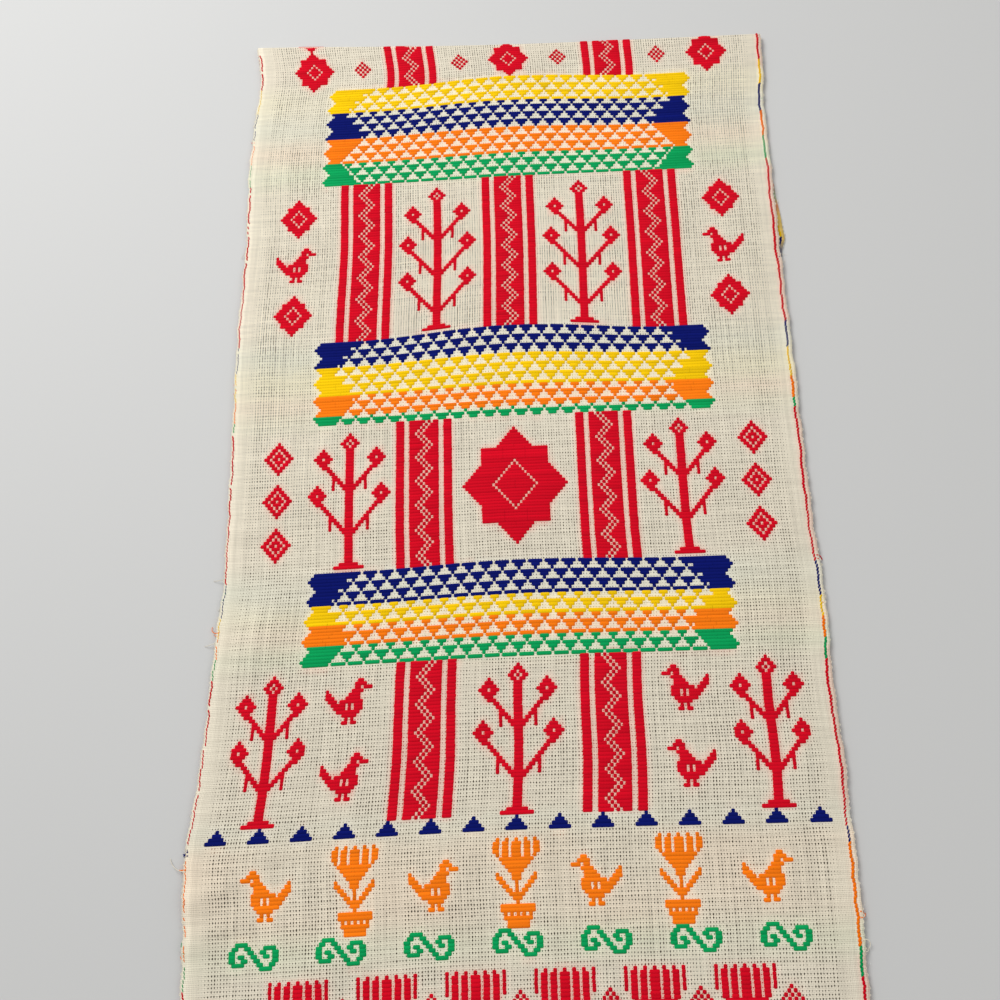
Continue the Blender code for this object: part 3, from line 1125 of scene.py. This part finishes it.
def make_floats(name, side, rows, starts, ends, run):
    """Floats over runs of cells; side is 1 on the upper layer and -1 on the lower one.

    Pieces of one run share their chance values and meet at full height. The lower layer's
    floats have fewer points.
    """
    length = ends - starts
    count = run[-1] + 1
    before = np.append(False, run[1:] == run[:-1])[:, None]
    after = np.append(run[:-1] == run[1:], False)[:, None]
    dip = np.minimum(0.34 / length, 0.38)
    stations = [0 * dip, dip, 0 * dip + 0.5, 1 - dip, 0 * dip + 1]
    ring = FLOAT_ROUND
    if side < 0:
        del stations[2]
        ring = ring[[0, 1, 3, 4]]
    along = np.stack(stations, axis=1)
    open_start, open_end = (along == 0) & ~before, (along == 1) & ~after
    swell = np.where(open_start | open_end, 0.74, 1.0)
    rise = np.where(open_start | open_end, 0.10, 1.0)

    column = starts[:, None] + along * length[:, None] + chance.normal(0, 0.035, count)[run, None]
    column = column + END_REACH * (1.0 * open_end - 1.0 * open_start)
    across = swell * (FLOAT_WIDTH * np.clip(chance.normal(1, 0.03, count), 0.9, 1.1))[run, None]
    tall = rise * (FLOAT_HEIGHT * np.clip(chance.normal(1, 0.10, count), 0.7, 1.3))[run, None]
    middle = (rows + 0.5 + chance.normal(0, 0.025, count)[run])[:, None]
    row = middle[:, :, None] + across[:, :, None] * ring[:, 0]
    lift = tall[:, :, None] * ring[:, 1] + SHEET / 2 - FLOAT_SUNK
    column = np.broadcast_to(column[:, :, None], row.shape)
    points = pattern_point(column, side * row, lift)
    points = points if side > 0 else points[:, :, ::-1]

    own_tone = chance.normal(0, 0.6, count)[run] - 1.2 * (length < 1.5)
    around = np.broadcast_to(ring[:, 0] + 0.5, row.shape)
    own_tone = np.broadcast_to(own_tone[:, None, None], row.shape)
    yarn = np.stack([column * CELL / MM, around, own_tone], axis=-1)
    cells = np.stack([column, row, 0 * row], axis=-1)
    return ring_mesh(name, points, yarn, cells)


brocade = []
for layer, side, shown in LAYERS:
    for colour in PATTERN_COLOURS:
        cells_of_colour = chart[shown] & (row_colours[shown] == colour)[:, None]
        piece = make_floats(f"brocade_{layer}_{colour}", side, *short_runs(cells_of_colour))
        piece.data.materials.append(pattern_yarn[colour])
        brocade.append(piece)
print(len(brocade), "pieces of brocade,", sum(len(p.data.polygons) for p in brocade), "faces")

# %% [markdown]
# ## Round yarn in free air
# Loops, hairs and stitches leave the surface, so their centre lines are points in space. The
# direction at a station is the difference of its neighbours. Crossing that with the vertical
# gives a sideways direction, and crossing again gives one at right angles to both.


# %% Round yarn
def round_yarn(name, centre, radius, around=5, tone=0.0, flat=1.0):
    """Tubes along centre lines: an array of tube, station, axis; flat is height over width."""
    tubes, stations = centre.shape[:2]
    heading = np.gradient(centre, axis=1)
    heading /= np.linalg.norm(heading, axis=-1, keepdims=True) + 1e-12
    beside = np.cross(heading, np.array([0.0, 0.0, 1.0]))
    beside /= np.linalg.norm(beside, axis=-1, keepdims=True) + 1e-9
    above = np.cross(beside, heading)
    angle = np.linspace(0, -2 * np.pi, around, endpoint=False)[:, None]
    radius = np.broadcast_to(radius, (tubes, stations))[:, :, None, None]
    circle = np.cos(angle) * beside[:, :, None] + flat * np.sin(angle) * above[:, :, None]
    steps = np.linalg.norm(np.diff(centre, axis=1, prepend=centre[:, :1]), axis=-1)
    along = np.cumsum(steps, axis=1)[:, :, None] / MM
    shape = (tubes, stations, around)
    own_tone = tone + chance.normal(0, 0.6, (tubes, 1, 1))
    parts = (along, angle[:, 0] / (2 * np.pi), own_tone)
    yarn = np.stack([np.broadcast_to(part, shape) for part in parts], axis=-1)
    return ring_mesh(name, centre[:, :, None] + radius * circle, yarn)


# %% [markdown]
# ## Pattern yarn at the selvedges
# The pattern yarns turn back close to the edge and climb to their next pick there, so a coloured
# line of slanting stitches runs along both selvedges. It is broad on the right, and thin with
# gaps on the left. The picks are beaten a little less at the edges, so the line's rows are
# stretched, and this keeps its colours level with the zones.

# %% Pattern yarn at the selvedges
EdgeLine = namedtuple("EdgeLine", "edge column radius slant kept shift stretch")
EDGE_LINES = (
    EdgeLine("left", 0.70, 0.29, 0.18, 0.88, -2.4, 1.022),
    EdgeLine("right", COLUMNS - 1.60, 0.57, 0.34, 1.0, -4.6, 1.037),
)


def turning_yarn(name, side, shown, colour, line):
    """Slanting stitches along a selvedge for the rows of one colour."""
    rows = np.flatnonzero(row_colours[shown] == colour)
    rows = rows[chance.random(len(rows)) < line.kept]
    count = len(rows)
    part = np.linspace(0, 1, 5)
    lean = chance.normal(line.slant, 0.05, (count, 1)) * (2 * part - 1)
    drift = 0.10 * np.sin(rows / 3.1) + 0.10 * np.sin(rows / 7.7) + chance.normal(0, 0.04, count)
    swell = 1 + 0.16 * np.sin(rows / 11.0 + line.column) + 0.10 * np.sin(rows / 4.3)
    inward = 1 if line.edge == "left" else -1
    if line.edge == "left":
        swell = swell * (1.35 if colour == "red" else 0.8)
    elif colour == "orange":
        swell = swell * 1.25
    column = line.column + drift[:, None] + inward * lean
    row = np.maximum(line.shift + rows[:, None] * line.stretch - 0.15 + 1.2 * part, 0.0)
    lift = (SHEET / 2 + (0.24 * np.sin(np.pi * part) - 0.14) * MM) * side
    centre = pattern_point(column, side * row, np.broadcast_to(lift, row.shape))
    ends = np.array([0.6, 0.95, 1.05, 0.95, 0.6])
    return round_yarn(name, centre, line.radius * MM * swell[:, None] * ends, tone=-0.8, flat=0.65)


for layer, side, shown in LAYERS:
    for colour in PATTERN_COLOURS:
        for line in EDGE_LINES:
            name = f"turns_{layer}_{line.edge}_{colour}"
            piece = turning_yarn(name, side, shown, colour, line)
            piece.data.materials.append(pattern_yarn[colour])
            brocade.append(piece)
print("pattern yarn turns at both selvedges,", len(brocade), "pieces of pattern yarn")

# %% [markdown]
# ## Selvedge loops
# Each ground weft runs out to the edge, turns round the last warp end and comes back. Seen from
# above that is a small bulge at nearly every second pick, and it makes the outline knobbly.

# %% Selvedge loops
LOOP_RADIUS = 0.24 * MM
LOOP_STATIONS = 7
LOOP_PITCH = 1.6


def on_all_edges(make, name):
    """A piece for both selvedges of both layers."""
    places = [(layer, side, edge) for layer, side, _ in LAYERS for edge in ("left", "right")]
    return [make(f"{name}_{layer}_{edge}", side, edge == "left") for layer, side, edge in places]


def selvedge_loops(name, side, left):
    """Loops side by side along one selvedge of one layer."""
    row = np.arange(0.5, ROWS - 7, LOOP_PITCH)
    turn = np.linspace(0, np.pi, LOOP_STATIONS)
    count = len(row)
    bulge = np.clip(chance.normal(0.22, 0.10, (count, 1)), 0.04, 0.6)
    out = bulge * np.sin(turn) - 0.35 * np.abs(np.cos(turn))
    column = -out if left else COLUMNS + out
    reach = 0.8 + chance.normal(0, 0.08, (count, 1))
    place_along = row[:, None] + reach * (1 - np.cos(turn)) / LOOP_PITCH
    lift = chance.normal(0.05, 0.10, (count, 1)) * MM + 0 * turn
    centre = pattern_point(column, side * place_along, lift)
    centre[..., 2] = np.maximum(centre[..., 2], LOOP_RADIUS)
    return round_yarn(name, centre, LOOP_RADIUS)


edge_yarn = on_all_edges(selvedge_loops, "loops")
print(len(edge_yarn), "rows of selvedge loops")

# %% [markdown]
# ## Hairs and loose ends
# Fine cotton hairs stick out all along the selvedges. A few loose ends are longer, and a table
# says where they leave the edge and how they curl. Every one is an arc that starts in the edge
# and sinks towards the table as it goes.

# %% Hairs and loose ends
HAIRS = 230
AT_LEFT, AT_RIGHT = 0.004, 0.996
# Place across, distance from the fold, heading, length, curl and thickness
LOOSE_ENDS = {
    "cream": (
        (AT_LEFT, 157, 182, 8.5, -3.1, 0.24), (AT_LEFT, 163, 218, 6.5, 0.2, 0.24),
        (AT_LEFT, 237, 160, 3.0, 0.5, 0.20), (AT_LEFT, 281, 170, 2.4, 0.4, 0.22),
        (AT_LEFT, 384, 202, 8.5, -0.5, 0.26), (AT_LEFT, 388, 215, 7.0, 1.6, 0.24),
        (AT_LEFT, 401, 185, 3.4, 1.0, 0.30), (AT_LEFT, 421, 212, 9.0, -0.5, 0.25),
        (AT_LEFT, 472, 160, 2.8, 1.0, 0.25), (AT_LEFT, 498, 175, 3.2, 1.8, 0.30),
        (AT_LEFT, 502, 200, 2.8, -1.5, 0.30), (AT_LEFT, 531, 218, 10.0, 1.7, 0.26),
        (AT_LEFT, 545, 188, 13.0, -1.3, 0.27), (AT_RIGHT, 49, 20, 3.4, 1.2, 0.24),
        (AT_RIGHT, 55, -35, 3.4, 1.6, 0.28), (AT_RIGHT, 334, 20, 2.6, -0.8, 0.22),
        (AT_RIGHT, 459, 10, 2.6, 1.4, 0.26), (AT_RIGHT, 466, -15, 2.6, -1.0, 0.26),
        (AT_RIGHT, 580, 55, 10.0, -4.0, 0.32), (AT_RIGHT, 585, -30, 4.5, 1.4, 0.28),
    ),
    "green": (
        (AT_LEFT, 393, 190, 4.2, 2.8, 0.30), (AT_LEFT, 397, 175, 3.4, 1.6, 0.30),
        (AT_LEFT, 585, 150, 6.0, -0.9, 0.30), (AT_RIGHT, 53, -10, 4.0, 2.4, 0.24),
    ),
    "navy": (
        (AT_LEFT, 535, 198, 4.0, 0.6, 0.42), (AT_LEFT, 537, 184, 3.8, -0.5, 0.42),
        (AT_RIGHT, 177, -10, 3.0, 1.2, 0.34),
    ),
    "orange": (
        (AT_LEFT, 79, 170, 4.5, -0.8, 0.22), (AT_LEFT, 82, 195, 4.0, 1.2, 0.20),
        (AT_LEFT, 258, 190, 2.6, 0.6, 0.30), (AT_LEFT, 416, 218, 8.0, -2.3, 0.28),
        (AT_LEFT, 418, 200, 4.0, -1.2, 0.24), (AT_LEFT, 544, 190, 4.6, -0.2, 0.44),
        (AT_LEFT, 588, 190, 3.6, -1.0, 0.28), (AT_RIGHT, 566, 5, 4.2, -1.6, 0.38),
        (AT_RIGHT, 569, -15, 4.0, 1.4, 0.38),
    ),
    "red": (
        (AT_LEFT, 264, 185, 2.8, 0.6, 0.34), (AT_RIGHT, 375, 15, 4.6, -1.4, 0.40),
        (AT_RIGHT, 377, -25, 3.6, 1.0, 0.34), (AT_RIGHT, 403, 10, 2.2, 1.0, 0.26),
    ),
}


def arcs(start, heading, length, curl, drop, stations):
    """Centre lines that leave start, bend by curl radians on the way and sink by drop."""
    part = np.linspace(0, 1, stations)
    direction = heading[:, None] + curl[:, None] * part
    step = length[:, None] / (stations - 1)
    x = np.cumsum(np.cos(direction) * step, axis=1) - np.cos(direction[:, :1]) * step
    y = np.cumsum(np.sin(direction) * step, axis=1) - np.sin(direction[:, :1]) * step
    z = -drop[:, None] * part**1.5
    return start[:, None] + np.stack([x, y, z], axis=-1)


def edge_hairs(name, side, left):
    """Fine hairs along one selvedge of one layer, each with its own heading and curl."""
    path = np.sort(chance.uniform(HALF_TURN + 0.002, FOLDED_LENGTH - 0.016, HAIRS)) * side
    fraction = np.full(HAIRS, 0.0005 if left else 0.9995)
    start = on_cloth(fraction, path, np.zeros(HAIRS))
    heading = (np.pi if left else 0.0) + chance.normal(0, 0.75, HAIRS)
    length = np.clip(chance.gamma(4.0, 0.55, HAIRS), 0.8, 4.5) * MM
    drop = np.clip(start[:, 2] - 0.2 * MM, 0, None) * chance.uniform(0.2, 0.95, HAIRS)
    centre = arcs(start, heading, length, chance.normal(0, 1.1, HAIRS), drop, 5)
    taper = np.linspace(1, 0.35, 5) * 0.075 * MM
    return round_yarn(name, centre, taper, around=4)


def loose_ends(colour):
    """The longer loose ends of one colour, from the table."""
    fraction, from_fold, heading, length, curl, thickness = np.array(LOOSE_ENDS[colour]).T
    start = on_cloth(fraction, from_fold * MM + HALF_TURN, np.full(len(fraction), SHEET / 2))
    radius = thickness * MM
    drop = start[:, 2] - radius - 0.1 * MM
    centre = arcs(start, np.radians(heading), length * MM, curl, drop, 10)
    shrink = np.linspace(1, 0.55, 10)
    return round_yarn(f"loose_ends_{colour}", centre, radius[:, None] * shrink, around=6)


edge_yarn += on_all_edges(edge_hairs, "hairs")
for colour in LOOSE_ENDS:
    piece = loose_ends(colour)
    piece.data.materials.append(pattern_yarn[colour])
    edge_yarn.append(piece)
print(len(edge_yarn), "pieces of edge yarn")

# %% [markdown]
# ## Hem stitches
# Both ends are turned over and sewn by hand, out of sight of the photograph. A plain running
# stitch is enough: a short bar on the right side, then a gap.

# %% Hem stitches
STITCH_PITCH = 4.5 * MM
STITCH_LENGTH = 3.0 * MM
STITCH_RADIUS = 0.22 * MM
STITCH_IN_HEM = 2.2 * MM


def hem_stitches(name, side, length_of_layer):
    """A row of running stitches across one end of the runner."""
    middle = np.arange(-0.165, 0.168, STITCH_PITCH)
    part = np.linspace(-0.5, 0.5, 5)
    across = middle[:, None] + part * STITCH_LENGTH
    fraction = across / RUNNER_WIDTH + 0.5
    from_middle = length_of_layer + HALF_TURN - HEM_DEPTH + STITCH_IN_HEM
    path = np.full(fraction.shape, side * from_middle)
    lift = HEM_SHEET / 2 + (0.10 - 0.45 * (2 * part) ** 4) * MM
    centre = on_cloth(fraction, path, np.broadcast_to(lift, fraction.shape))
    return round_yarn(name, centre, STITCH_RADIUS)


edge_yarn.append(hem_stitches("stitches_upper", 1, FOLDED_LENGTH))
edge_yarn.append(hem_stitches("stitches_lower", -1, FOLDED_LENGTH - LOWER_END_SHORT))
for piece in edge_yarn:
    if not piece.data.materials:
        piece.data.materials.append(pattern_yarn["cream"])
print("hem stitches", len(edge_yarn[-1].data.polygons), "faces")

# %% [markdown]
# ## Tie everything to the frame
# The runner is one rigid part, so every piece rides on its root. The cloth takes the place of the
# CAD solid, which is hidden; it is cut 0.35 m by 1.40 m and folded, with its yarn.

# %% Riding and replacing
for piece in (runner, *brocade, *edge_yarn):
    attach(piece, "root")
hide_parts("runner_cloth")
